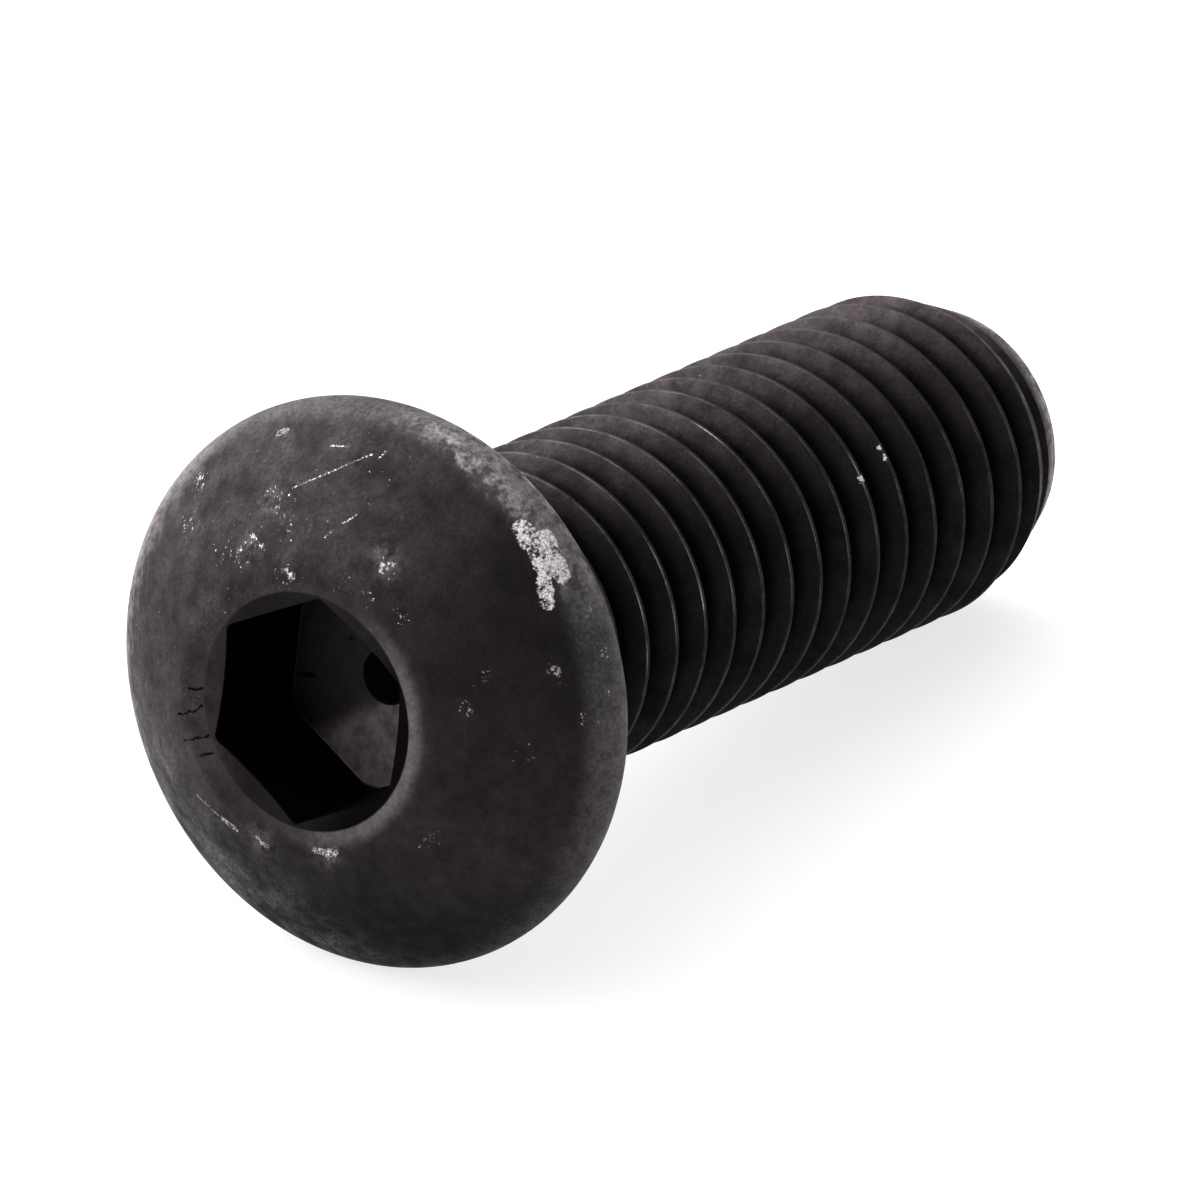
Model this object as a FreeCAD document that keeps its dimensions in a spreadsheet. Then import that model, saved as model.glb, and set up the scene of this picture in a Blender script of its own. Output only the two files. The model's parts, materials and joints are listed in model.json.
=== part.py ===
import FreeCAD, Part
import Sketcher
import enum
import math
import os

# Button head screw with a hexagon socket, in millimetres.
# It is drawn along its own axis: the bearing face lies at z = 0, the head below it, the point at +z.
# Its placement then lays it down, on the rim of its head and the end of its thread.

NODE = "button_head_screw"

SIZES = {
    "thread_diameter": 12.7,
    "shank_length": 37.1,
    "point_length": 3.5,
    "point_diameter": 9.9,
    "neck_diameter": 11.2,
    "neck_length": 1.6,
    "neck_fillet": 0.6,
    "head_diameter": 22.15,
    "head_height": 6.4,
    "rim_radius": 1.74,
    "land_diameter": 11.2,
    "mouth_diameter": 9.3,
    "mouth_slope": 20.0,
    "socket_across_flats": 7.95,
    "socket_depth": 5.1,
    "socket_turn": 2.0,
    "dish_diameter": 7.6,
    "dish_depth": 0.4,
    "dimple_diameter": 2.2,
    "dimple_depth": 0.6,
}

# At rest the floor touches the round of the rim and the last full turn of the thread.
REST = {
    "reach": "shank_length - point_length + rim_radius",
    "drop": "head_diameter / 2 - rim_radius - thread_diameter / 2",
    "rest_tilt": "atan(drop / reach) + asin(rim_radius / sqrt(reach ^ 2 + drop ^ 2))",
    "axis_height": "rim_radius - rim_radius * sin(rest_tilt)"
                   " + (head_diameter / 2 - rim_radius) * cos(rest_tilt)",
    "length_ahead": "shank_length * cos(rest_tilt) + point_diameter / 2 * sin(rest_tilt)",
    "length_behind": "head_height * cos(rest_tilt) + land_diameter / 2 * sin(rest_tilt)",
}

HEXAGON_SIDES = 6


class At(enum.IntEnum):
    """The sketcher's numbers for the points of an edge."""
    START = 1
    END = 2
    CENTRE = 3


class Axis(enum.IntEnum):
    """The sketcher's numbers for its own axes, which cross at the start of each."""
    H = -1
    V = -2


def make_sheet(doc):
    sheet = doc.addObject("Spreadsheet::Sheet", "Sizes")
    cells = [(name, str(value)) for name, value in SIZES.items()]
    cells += [(name, "=" + formula) for name, formula in REST.items()]
    for row, (name, content) in enumerate(cells, 1):
        sheet.set("A%d" % row, name)
        sheet.set("B%d" % row, content)
        sheet.setAlias("B%d" % row, name)
        doc.recompute()
    return sheet


def new_sketch(body, name, plane_role):
    sketch = body.newObject("Sketcher::SketchObject", name)
    plane = next(item for item in body.Origin.OriginFeatures if item.Role == plane_role)
    sketch.AttachmentSupport = (plane, "")
    sketch.MapMode = "FlatFace"
    return sketch


def add_line(sketch, start, end):
    edge = Part.LineSegment(FreeCAD.Vector(*start, 0), FreeCAD.Vector(*end, 0))
    return sketch.addGeometry(edge, False)


def add_arc(sketch, centre, radius, start_angle, end_angle):
    circle = Part.Circle(FreeCAD.Vector(*centre, 0), FreeCAD.Vector(0, 0, 1), radius)
    return sketch.addGeometry(Part.ArcOfCircle(circle, start_angle, end_angle), False)


def constrain(sketch, kind, *places):
    return sketch.addConstraint(Sketcher.Constraint(kind, *places))


def dimension(sketch, name, formula, kind, *places):
    """Adds a dimension at its drawn value, then binds it to the sheet."""
    index = constrain(sketch, kind, *places)
    sketch.renameConstraint(index, name)
    sketch.setExpression("Constraints." + name, formula)


def dome_centre_height(ring_radius, rim_radius, land_radius, head_height):
    """Where on the axis the dome has its centre, if it meets the land and runs into the rim's round."""
    part_a = land_radius ** 2 + head_height ** 2 - ring_radius ** 2
    part_b = 2 * (head_height - rim_radius)
    square = part_b ** 2 - 4 * rim_radius ** 2
    linear = 2 * part_a * part_b - 8 * rim_radius ** 2 * head_height
    constant = part_a ** 2 - 4 * rim_radius ** 2 * (land_radius ** 2 + head_height ** 2)
    return (-linear + math.sqrt(linear ** 2 - 4 * square * constant)) / (2 * square)


def draw_half_section(sketch, sizes):
    """Half the section of the turned form: radius to the right, height along the axis upwards."""
    land = sizes["land_diameter"] / 2
    top = -sizes["head_height"]
    rim = sizes["rim_radius"]
    ring = sizes["head_diameter"] / 2 - rim
    neck = sizes["neck_diameter"] / 2
    fillet = sizes["neck_fillet"]
    thread = sizes["thread_diameter"] / 2
    thread_start = sizes["neck_length"] + thread - neck
    thread_end = sizes["shank_length"] - sizes["point_length"]
    length = sizes["shank_length"]
    tip = sizes["point_diameter"] / 2

    dome = dome_centre_height(ring, rim, land, sizes["head_height"])
    dome_radius = math.hypot(land, dome - top)
    dome_start = math.atan2(-rim - dome, ring)
    dome_end = math.atan2(top - dome, land)

    land_line = add_line(sketch, (0, top), (land, top))
    dome_arc = add_arc(sketch, (0, dome), dome_radius, dome_end, dome_start)
    rim_arc = add_arc(sketch, (ring, -rim), rim, dome_start, math.pi / 2)
    bearing_line = add_line(sketch, (ring, 0), (neck + fillet, 0))
    fillet_arc = add_arc(sketch, (neck + fillet, fillet), fillet, math.pi, 1.5 * math.pi)
    neck_line = add_line(sketch, (neck, fillet), (neck, sizes["neck_length"]))
    start_line = add_line(sketch, (neck, sizes["neck_length"]), (thread, thread_start))
    thread_line = add_line(sketch, (thread, thread_start), (thread, thread_end))
    point_line = add_line(sketch, (thread, thread_end), (tip, length))
    end_line = add_line(sketch, (tip, length), (0, length))
    axis_line = add_line(sketch, (0, length), (0, top))

    constrain(sketch, "Coincident", land_line, At.END, dome_arc, At.START)
    constrain(sketch, "Tangent", dome_arc, At.END, rim_arc, At.START)
    constrain(sketch, "Tangent", rim_arc, At.END, bearing_line, At.START)
    constrain(sketch, "Tangent", bearing_line, At.END, fillet_arc, At.END)
    constrain(sketch, "Tangent", fillet_arc, At.START, neck_line, At.START)
    constrain(sketch, "Coincident", neck_line, At.END, start_line, At.START)
    constrain(sketch, "Coincident", start_line, At.END, thread_line, At.START)
    constrain(sketch, "Coincident", thread_line, At.END, point_line, At.START)
    constrain(sketch, "Coincident", point_line, At.END, end_line, At.START)
    constrain(sketch, "Coincident", end_line, At.END, axis_line, At.START)
    constrain(sketch, "Coincident", axis_line, At.END, land_line, At.START)
    constrain(sketch, "PointOnObject", dome_arc, At.CENTRE, Axis.V)
    constrain(sketch, "PointOnObject", axis_line, At.START, Axis.V)
    constrain(sketch, "PointOnObject", axis_line, At.END, Axis.V)
    constrain(sketch, "PointOnObject", bearing_line, At.START, Axis.H)
    constrain(sketch, "Horizontal", land_line)
    constrain(sketch, "Horizontal", bearing_line)
    constrain(sketch, "Horizontal", end_line)
    constrain(sketch, "Vertical", neck_line)
    constrain(sketch, "Vertical", thread_line)

    across = Axis.H, At.START
    dimension(sketch, "land_radius", "Sizes.land_diameter / 2",
              "DistanceX", *across, land_line, At.END, land)
    dimension(sketch, "head_height", "Sizes.head_height",
              "DistanceY", land_line, At.END, *across, -top)
    dimension(sketch, "rim_radius", "Sizes.rim_radius", "Radius", rim_arc, rim)
    dimension(sketch, "ring_radius", "Sizes.head_diameter / 2 - Sizes.rim_radius",
              "DistanceX", *across, rim_arc, At.CENTRE, ring)
    dimension(sketch, "neck_fillet", "Sizes.neck_fillet", "Radius", fillet_arc, fillet)
    dimension(sketch, "neck_radius", "Sizes.neck_diameter / 2",
              "DistanceX", *across, neck_line, At.END, neck)
    dimension(sketch, "neck_length", "Sizes.neck_length",
              "DistanceY", *across, neck_line, At.END, sizes["neck_length"])
    dimension(sketch, "thread_start", "(Sizes.thread_diameter - Sizes.neck_diameter) / 2",
              "DistanceY", start_line, At.START, start_line, At.END, thread - neck)
    dimension(sketch, "thread_radius", "Sizes.thread_diameter / 2",
              "DistanceX", *across, thread_line, At.END, thread)
    dimension(sketch, "point_length", "Sizes.point_length",
              "DistanceY", point_line, At.START, point_line, At.END, sizes["point_length"])
    dimension(sketch, "point_radius", "Sizes.point_diameter / 2",
              "DistanceX", *across, point_line, At.END, tip)
    dimension(sketch, "shank_length", "Sizes.shank_length",
              "DistanceY", *across, point_line, At.END, length)


def revolve(body, name, sketch, kind):
    feature = body.newObject("PartDesign::" + kind, name)
    feature.Profile = sketch
    feature.ReferenceAxis = (sketch, ["V_Axis"])
    feature.Angle = 360
    return feature


def cut_cone(doc, body, name, radius_formula, depth_formula, base_formula):
    """Cuts a cone on the axis: its base lies below the bearing face, its point towards the thread."""
    sketch = new_sketch(body, name + "_section", "XZ_Plane")
    sides = [((0, 0), (1, 0)), ((1, 0), (0, 1)), ((0, 1), (0, 0))]
    base, slope, axis = [add_line(sketch, *side) for side in sides]
    constrain(sketch, "Coincident", base, At.END, slope, At.START)
    constrain(sketch, "Coincident", slope, At.END, axis, At.START)
    constrain(sketch, "Coincident", axis, At.END, base, At.START)
    constrain(sketch, "Coincident", base, At.START, Axis.H, At.START)
    constrain(sketch, "Horizontal", base)
    constrain(sketch, "Vertical", axis)
    dimension(sketch, "radius", radius_formula, "DistanceX", base, At.START, base, At.END, 1)
    dimension(sketch, "depth", depth_formula, "DistanceY", axis, At.END, axis, At.START, 1)
    sketch.setExpression("AttachmentOffset.Base.y", base_formula)
    doc.recompute()
    return revolve(body, name, sketch, "Groove")


def draw_hexagon(sketch, across_flats):
    """A hexagon about the sketch's origin, with its first corner on the horizontal axis."""
    corner_radius = across_flats / 2 / math.cos(math.pi / HEXAGON_SIDES)
    angles = [2 * math.pi * number / HEXAGON_SIDES for number in range(HEXAGON_SIDES + 1)]
    corners = [(corner_radius * math.cos(angle), corner_radius * math.sin(angle)) for angle in angles]
    sides = [add_line(sketch, *ends) for ends in zip(corners, corners[1:])]
    circle = Part.Circle(FreeCAD.Vector(0, 0, 0), FreeCAD.Vector(0, 0, 1), corner_radius)
    guide = sketch.addGeometry(circle, True)
    constrain(sketch, "Coincident", guide, At.CENTRE, Axis.H, At.START)
    for side, following in zip(sides, sides[1:] + sides[:1]):
        constrain(sketch, "Coincident", side, At.END, following, At.START)
        constrain(sketch, "PointOnObject", side, At.START, guide)
    for side in sides[1:]:
        constrain(sketch, "Equal", sides[0], side)
    constrain(sketch, "PointOnObject", sides[0], At.START, Axis.H)
    dimension(sketch, "corner_radius", "Sizes.socket_across_flats / 2 / cos(30)",
              "Radius", guide, corner_radius)


def make_screw(doc, sizes):
    body = doc.addObject("PartDesign::Body", "Screw")
    body.Label = NODE

    section = new_sketch(body, "half_section", "XZ_Plane")
    draw_half_section(section, sizes)
    doc.recompute()
    revolve(body, "turned_form", section, "Revolution")
    doc.recompute()

    cut_cone(doc, body, "mouth", "Sizes.mouth_diameter / 2",
             "Sizes.mouth_diameter / 2 * tan(Sizes.mouth_slope)", "-Sizes.head_height")
    doc.recompute()

    hexagon = new_sketch(body, "hexagon", "XY_Plane")
    draw_hexagon(hexagon, sizes["socket_across_flats"])
    hexagon.setExpression("AttachmentOffset.Base.z", "-Sizes.head_height")
    hexagon.setExpression("AttachmentOffset.Rotation.Angle", "Sizes.socket_turn")
    doc.recompute()
    socket = body.newObject("PartDesign::Pocket", "socket")
    socket.Profile = hexagon
    socket.Reversed = True
    socket.setExpression("Length", "Sizes.socket_depth")
    doc.recompute()

    floor = "Sizes.socket_depth - Sizes.head_height"
    cut_cone(doc, body, "dish", "Sizes.dish_diameter / 2", "Sizes.dish_depth", floor)
    doc.recompute()
    dimple_floor = floor + " + Sizes.dish_depth * (1 - Sizes.dimple_diameter / Sizes.dish_diameter)"
    cut_cone(doc, body, "dimple", "Sizes.dimple_diameter / 2", "Sizes.dimple_depth", dimple_floor)
    doc.recompute()
    return body


def lay_down(doc, body):
    """Turns the axis forward and down until the rim and the thread both touch the floor."""
    body.Placement = FreeCAD.Placement(FreeCAD.Vector(), FreeCAD.Rotation(FreeCAD.Vector(0, 1, 0), 90))
    body.setExpression("Placement.Rotation.Angle", "90 deg + Sizes.rest_tilt")
    body.setExpression("Placement.Base.x", "(Sizes.length_behind - Sizes.length_ahead) / 2")
    body.setExpression("Placement.Base.z", "Sizes.axis_height")
    doc.recompute()


def check(doc, bodies):
    for item in doc.Objects:
        if {"Invalid", "Error"} & set(item.State):
            raise RuntimeError("%s did not build: %s" % (item.Name, item.State))
    for body in bodies:
        if body.Shape.isNull() or not body.Shape.isValid() or len(body.Shape.Solids) != 1:
            raise RuntimeError("%s is not one valid solid" % body.Label)


def main():
    doc = FreeCAD.newDocument("ButtonHeadScrew")
    make_sheet(doc)
    screw = make_screw(doc, SIZES)
    lay_down(doc, screw)
    check(doc, [screw])
    os.makedirs("parts", exist_ok=True)
    screw.Shape.exportStep(os.path.join("parts", NODE + ".step"))


main()
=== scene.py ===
import json
import math

import bpy
import numpy as np
from mathutils import Matrix, Vector


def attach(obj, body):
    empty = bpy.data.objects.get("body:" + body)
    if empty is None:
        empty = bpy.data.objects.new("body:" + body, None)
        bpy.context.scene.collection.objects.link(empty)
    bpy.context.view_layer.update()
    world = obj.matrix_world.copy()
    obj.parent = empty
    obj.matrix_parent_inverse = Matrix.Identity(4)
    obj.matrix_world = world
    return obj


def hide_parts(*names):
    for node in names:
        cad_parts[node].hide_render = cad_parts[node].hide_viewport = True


# A black button head screw that lies on a pale floor.
# The screw is drawn about its own axis: the bearing face is at z = 0, the head below, the point above.
# In the photograph, the screw's own -x points up and its own +y points to the left.

MM = 0.001
BODY = "root"
NODE = "button_head_screw"
PIECE = "screw"
SLOT = "black_oxide_steel"
CREST = "crest"

# Sizes in millimetres.
THREAD_DIAMETER = 12.7
PITCH = 25.4 / 13
FIRST_CREST = 1.82 - PITCH
CREST_FLAT = PITCH / 8
THREAD_DEPTH = 0.6134 * PITCH
SHANK_LENGTH = 37.1
POINT_LENGTH = 3.5
POINT_DIAMETER = 9.9
POINT_ROUND = 0.25
NECK_DIAMETER = 11.2
NECK_LENGTH = 1.6
NECK_FILLET = 0.6
HEAD_DIAMETER = 22.13
HEAD_HEIGHT = 6.4
RIM_RADIUS = 1.74
LAND_DIAMETER = 11.2
LAND_ROUND = 1.6
LAND_ROUND_REACH = 0.45
MOUTH_DIAMETER = 9.3
MOUTH_SLOPE = math.radians(20)
LIP_ROUND = 0.16
SOCKET_ACROSS_FLATS = 7.95
SOCKET_DEPTH = 5.1
SOCKET_TURN = math.radians(2.0)
SOCKET_FILLET = 0.08
DISH_DIAMETER = 7.6
DISH_DEPTH = 0.4
DIMPLE_DIAMETER = 2.2
DIMPLE_DEPTH = 0.6
DIMPLE_ROUND = 0.15

# The mesh: columns run along the screw, rows round it, and the thread's rows climb with its helix.
HEXAGON_SIDES = 6
COLUMNS = 38 * HEXAGON_SIDES
ANGLES = SOCKET_TURN + 2 * math.pi * np.arange(COLUMNS) / COLUMNS

# A thread row is named by its place in the pitch, where a crest is at 0 and a root at 0.5.
CREST_END = 0.045
CREST_ROUND_END = 0.08
ROOT_ROUND_START = 0.36
ROOT_START = 0.42
ROOT_ROUND_RISE = 0.04
UPPER_ROWS = (CREST_END, CREST_ROUND_END, 0.13, 0.25, ROOT_ROUND_START, ROOT_START)
THREAD_ROWS = (*(-place for place in reversed(UPPER_ROWS)), *UPPER_ROWS, 0.5)
WORN_ROW = -CREST_END
THREAD_TURNS = range(-2, 20)
RUN_OUT = (0.9, 2.9)
EASED_START = 2.6
EASED_END = SHANK_LENGTH - 1.9
SHARP_ANGLE = math.radians(48)

# Marks on the head, each point as degrees round the axis and distance from it, and how wide they are.
SCRATCHES = (
    ((163.7, 8.3), (174.1, 8.95), (182.1, 9.75)),
    ((171.4, 9.72), (174.9, 9.76)),
    ((184.0, 9.70), (184.6, 9.95)),
    ((46.0, 7.02), (36.2, 6.58)),
    ((178.7, 6.82), (180.4, 7.06)),
    ((182.9, 7.42), (185.9, 7.84)),
    ((255.6, 11.0), (257.3, 11.0)),
)
BEADS = (
    ((155.8, 10.18), (157.9, 10.23)),
    ((249.0, 9.77), (250.2, 9.90)),
    ((166.2, 5.27), (167.6, 5.27)),
    ((34.0, 6.5), (28.0, 6.3)),
    ((17.8, 5.9), (13.5, 5.95)),
    ((350.5, 5.42), (341.0, 5.5)),
)
CRACKS = (
    ((73.3, 6.15), (75.4, 5.24), (77.8, 4.74)),
    ((63.8, 6.17), (64.1, 5.34), (63.9, 4.78)),
    ((84.5, 5.35), (86.0, 4.75)),
    ((57.5, 5.5), (56.0, 4.9)),
)
RUBBED = (
    ((219.6, 10.62), (228.6, 10.6)),
    ((223.2, 10.9), (230.8, 10.82)),
)
RUBBED_BELOW = (
    ((231.0, 10.38), (235.2, 10.2)),
)
SPECKS = (
    (151.3, 6.7), (146.0, 6.3), (138.2, 6.9), (125.3, 8.8), (160.7, 7.8), (163.4, 6.8), (166.8, 5.3),
    (192.0, 5.6), (205.5, 5.8), (217.6, 6.0), (202.4, 7.0), (40.0, 6.7), (16.0, 5.9), (345.7, 5.4),
    (231.5, 11.0), (236.0, 10.9), (239.8, 11.0), (248.6, 11.0), (261.8, 10.5), (250.0, 9.8),
    (132.0, 9.9), (158.5, 8.0), (162.5, 7.8), (246.5, 7.65), (254.5, 7.0), (269.3, 8.6), (304.0, 6.8),
)
SMUDGES = ((148.0, 6.5), (198.5, 7.3), (202.4, 7.0), (129.0, 8.6), (156.0, 7.9), (16.0, 5.9), (345.7, 5.4))
SCRATCH_WIDTH = 0.055
BEAD_WIDTH = 0.17
CRACK_WIDTH = 0.07
RUBBED_WIDTH = 0.62
RUBBED_BELOW_WIDTH = 0.46
SPECK_REACH = 0.9
SMUDGE_REACH = 1.1

# Nicks in the thread's crests and worn stretches of them, each as degrees round the axis and height.
NICKS = ((234.8, 24.5), (231.0, 24.45), (238.2, 22.65))
WORN_CRESTS = (
    (201.0, 16.58), (236.5, 9.06), (254.8, 10.78), (236.0, 22.6), (268.0, 7.0), (262.0, 5.1), (248.0, 7.1),
)
NICK_REACH = 0.42
WORN_CREST_REACH = 1.2

# Dark marks on the socket's floor, each from one point across it to another.
FLOOR_MARKS = (((0.85, 3.85), (0.72, 3.2)), ((-1.11, 1.70), (-1.13, 1.66)))
FLOOR_MARK_WIDTHS = (0.15, 0.07)
FLOOR_MARK_RISE = 0.1
FLOOR_EDGE = 0.02
DIMPLE_EDGE = 0.03

# Sides of the screw, named as the photograph shows it: each has a direction, and the stretch of it over
# which a mask of the side rises.
SIDES = {
    "head_top": ((-0.6, 0.8, 0), (-3.0, 7.0)),
    "head_low_left": ((0.8, 0.6, 0), (5.2, 8.5)),
    "head_bottom": ((1, 0, 0), (3.0, 10.0)),
    "rim_left": ((0, 1, 0), (5.5, 10.5)),
    "rim_upper_right": ((-0.85, -0.53, 0), (9.0, 11.0)),
    "rim_bottom": ((0.95, -0.3, 0), (3.0, 9.0)),
    "lip_right": ((0.3, -0.95, 0), (0.0, 4.6)),
    "land_right": ((0.35, -0.94, 0), (-0.5, 4.8)),
    "cone_left": ((0.1, 1, 0), (2.6, 4.3)),
    # The socket floor's lit side, for a painted pool of light.
    "floor_lit_side": ((0.815, -0.581, 0), (0.3, 1.2)),
    "shank_top": ((-1, 0, 0), (1.5, 6.0)),
    "shank_bottom": ((0.5, -0.87, 0), (4.0, 6.2)),
}

# Stretches of height, over which a mask rises.
IN_HEAD = (0.0, -0.2)
ON_LAND = (-6.0, -6.2)
UNDER_CONE = (0.02, 0.08)
SHANK_START = (-0.3, 0.6)
PAST_NECK = (2.4, 3.4)
WEAR_STRETCH = (6.0, 30.0)
SHINY_STRETCH = (24.0, 37.0)
BROWN_STRETCH = (31.0, 35.0)
END_EDGE = (SHANK_LENGTH - 1.4, SHANK_LENGTH - 0.2)
BEFORE_END = (SHANK_LENGTH - 0.05, SHANK_LENGTH - 0.15)

# Stretches of distance from the axis, over which a mask rises.
IN_SOCKET = (4.66, 4.60)
IN_MOUTH = (4.70, 4.60)
IN_FLOOR = (4.42, 4.25)
# Where the ring round the mouth with its painted highlight lies.
HIGHLIGHT_RING = (5.6, 4.85)
LIP_RING = (5.5, 4.8)
RIM = (10.2, 11.0)
LEFT_RIM = (9.4, 11.1)
RIGHT_RIM = (10.5, 11.1)
RIM_UNEVEN = (-0.4, 0.3)
CREST_TO_ROOT = (6.2, 5.35)
END_RIM = (4.3, 4.9)

# Noises: scale, detail and roughness.
CLOUD = (0.5, 5, 0.6)
MOTTLE = (1.6, 6, 0.65)
GRAIN = (6.0, 4, 0.6)
FINE = (7.0, 4, 0.65)
FINEST = (12.0, 3, 0.7)
CREST_PATCHES = (0.7, 5, 0.7)
PITS = (3.5, 2, 0.5)
WOBBLE = (2.5, 4)
WOBBLE_REACH = 0.3

# Stretches of a noise's values, over which a mask rises. Most values lie between 0.3 and 0.7.
WIDE = (0.3, 0.7)
MIDDLE = (0.35, 0.65)
EARLY = (0.3, 0.6)
LATER = (0.3, 0.65)
TONE_SPAN = (0.3, 0.72)
PATCHES = (0.36, 0.62)
BROWN_PATCHES = (0.4, 0.6)
CRACK_BREAKS = (0.25, 0.45)
SCRATCH_BREAKS = (0.45, 0.66)
BEAD_BREAKS = (0.42, 0.66)
CREST_LINE = (0.55, 0.95)

# Specks, nicks and the rubbed patch show where a noise and a share of their mask together pass a span.
# The head's upper left gathers specks and a haze, its lower left a haze; the haze is a painted highlight
# over scuffs.
HEAD_TOP_SHARE = 0.062
LOW_LEFT_HIGHLIGHT_SHARE = 0.15
SPECK_SHARE = 0.24
SPECK_SPAN = (0.73, 0.81)
NICK_SHARE = 0.4
NICK_SPAN = (0.80, 0.86)
RUBBED_SHARE = 0.27
RUBBED_SPAN = (0.68, 0.80)

# How much each noise has to say in the oxide's tone.
CLOUD_SHARE = 0.52
MOTTLE_SHARE = 0.2
GRAIN_SHARE = 0.28

# How much steel, chalk, dust or dark the wear shows at most, and how strong some painted highlights and
# painted shade are.
SMUDGE_WEAR = 0.2
RIM_WEAR = 0.2
LEFT_RIM_WEAR = 0.48
RIGHT_RIM_WEAR = 0.52
# A painted highlight on the right of the mouth's lip.
LIP_HIGHLIGHT = 0.18
END_WEAR = 0.85
# The haze: a painted highlight, over scuffs on the head's upper left.
HAZE_SCUFF_AND_HIGHLIGHT = 1.2
BEAD_CHALK = 0.7
CONE_DUST = (0.08, 0.17)
# Dust on the socket's floor, with a painted pool of light.
FLOOR_DUST_AND_LIGHT = (0.45, 1.0)
# Painted shade on the shank's lower side.
LOW_SIDE_SHADE = 0.4

# Colours of the finish, how rough it is and how it reflects, in its darker and paler places, with painted
# shade and painted highlights among them.
OXIDE_DARK = (0.0062, 0.0050, 0.0054, 1)
OXIDE_PALE = (0.0150, 0.0122, 0.0130, 1)
# The darkest oxide: painted shade in the socket, the thread's roots and on the shank's lower side, and
# darker oxide with painted shade on the right of the mouth's cone.
OXIDE_PAINTED_SHADE = (0.0030, 0.0025, 0.0026, 1)
OXIDE_BROWN = (0.0200, 0.0140, 0.0110, 1)
DUSTY = (0.240, 0.205, 0.207, 1)
CHALKY = (0.85, 0.82, 0.83, 1)
OXIDE_TINT = (1.0, 0.86, 0.91, 1)
STEEL = (0.66, 0.63, 0.64, 1)
BLACK = (0, 0, 0, 1)
OXIDE_ROUGHNESS = (0.62, 0.46)
STEEL_ROUGHNESS = 0.34
LOW_SHINE = (0.18, 0.46)
# A painted highlight on the shank's upper side.
TOP_HIGHLIGHT_SHINE = (0.45, 0.95)
HEAD_SHINE = (0.35, 0.62)
# A painted highlight on the ring round the mouth.
RING_HIGHLIGHT_SHINE = 0.95
# Sheen of the mouth's cone, falling away on its right as painted shade.
CONE_SHINE = (0.25, 0.03)
# Almost no sheen on the socket's walls, a painted shade; more on its floor.
SOCKET_SHINE = (0.05, 0.7)
BUMP_STRENGTH = 0.4
BUMP_HEIGHT = 0.04 * MM

# The floor and the light. Places go to the right, away from the camera and up, lengths are in metres.
FLOOR_SIDE = 6
FLOOR_GREY = (0.3, 0.3, 0.3, 1)
FLOOR_ROUGHNESS = 0.9
FLOOR_GLOW = 0.8
WHITE = (1, 1, 1, 1)
BRIGHTEST = (-0.76, 0.27, 0.56)
SKY_SPAN = (0.0, 1.15)
SKY_STRENGTH = (0.3, 3.0)
KEY_PLACE = (-0.4, 0.1, 0.5)
KEY_TARGET = (0, 0, 0.01)
KEY_SIZE = 0.6
KEY_POWER = 1.0
GAMMA = 0.75

# The camera, from the photograph: angles in degrees, lengths in millimetres, places in pixels.
IMAGE_SIDE = 1200
CAMERA_HEADING = 34.42
CAMERA_ELEVATION = 26.3
CAMERA_DISTANCE = 1693.0
PIXELS_PER_MM = 26.551
BEARING_PIXEL = (402.4, 670.4)
SENSOR_WIDTH = 36.0
CLIP_START = 0.1
CLIP_END = 20


def arc(centre, radius, start, end, count):
    """Points on an arc of the half section, as (distance from the axis, height)."""
    turns = np.linspace(start, end, count)
    return [(centre[0] + radius * math.cos(turn), centre[1] + radius * math.sin(turn)) for turn in turns]


def line(start, end, count):
    """Points on a straight line of the half section."""
    return [tuple(point) for point in np.linspace(start, end, count)]


def rounded_corner(before, corner, after, radius, count):
    """The arc that rounds a corner of the half section."""
    corner = np.array(corner, float)
    backwards = np.array(before, float) - corner
    forwards = np.array(after, float) - corner
    backwards /= np.linalg.norm(backwards)
    forwards /= np.linalg.norm(forwards)
    half = math.acos(float(backwards @ forwards)) / 2
    middle = backwards + forwards
    centre = corner + middle / np.linalg.norm(middle) * radius / math.sin(half)
    first = corner + backwards * radius / math.tan(half) - centre
    last = corner + forwards * radius / math.tan(half) - centre
    shares = np.linspace(0, 1, count)
    mixed = np.outer(1 - shares, first) + np.outer(shares, last)
    mixed *= radius / np.linalg.norm(mixed, axis=1)[:, None]
    return [tuple(point) for point in centre + mixed]


def dome_centre_height(ring_radius, rim_radius, land_radius, head_height):
    """Where on the axis the dome has its centre, if it meets the land and runs into the rim's round."""
    part_a = land_radius ** 2 + head_height ** 2 - ring_radius ** 2
    part_b = 2 * (head_height - rim_radius)
    square = part_b ** 2 - 4 * rim_radius ** 2
    linear = 2 * part_a * part_b - 8 * rim_radius ** 2 * head_height
    constant = part_a ** 2 - 4 * rim_radius ** 2 * (land_radius ** 2 + head_height ** 2)
    return (-linear + math.sqrt(linear ** 2 - 4 * square * constant)) / (2 * square)


def wall_radius(angles):
    """Distance from the axis to the socket's six walls."""
    sector = 2 * math.pi / HEXAGON_SIDES
    from_middle = (angles - SOCKET_TURN) % sector - sector / 2
    return SOCKET_ACROSS_FLATS / 2 / np.cos(from_middle)


def mouth_height(radius):
    """Height of the cone that opens the socket's mouth."""
    return -HEAD_HEIGHT + (MOUTH_DIAMETER / 2 - radius) * math.tan(MOUTH_SLOPE)


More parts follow.
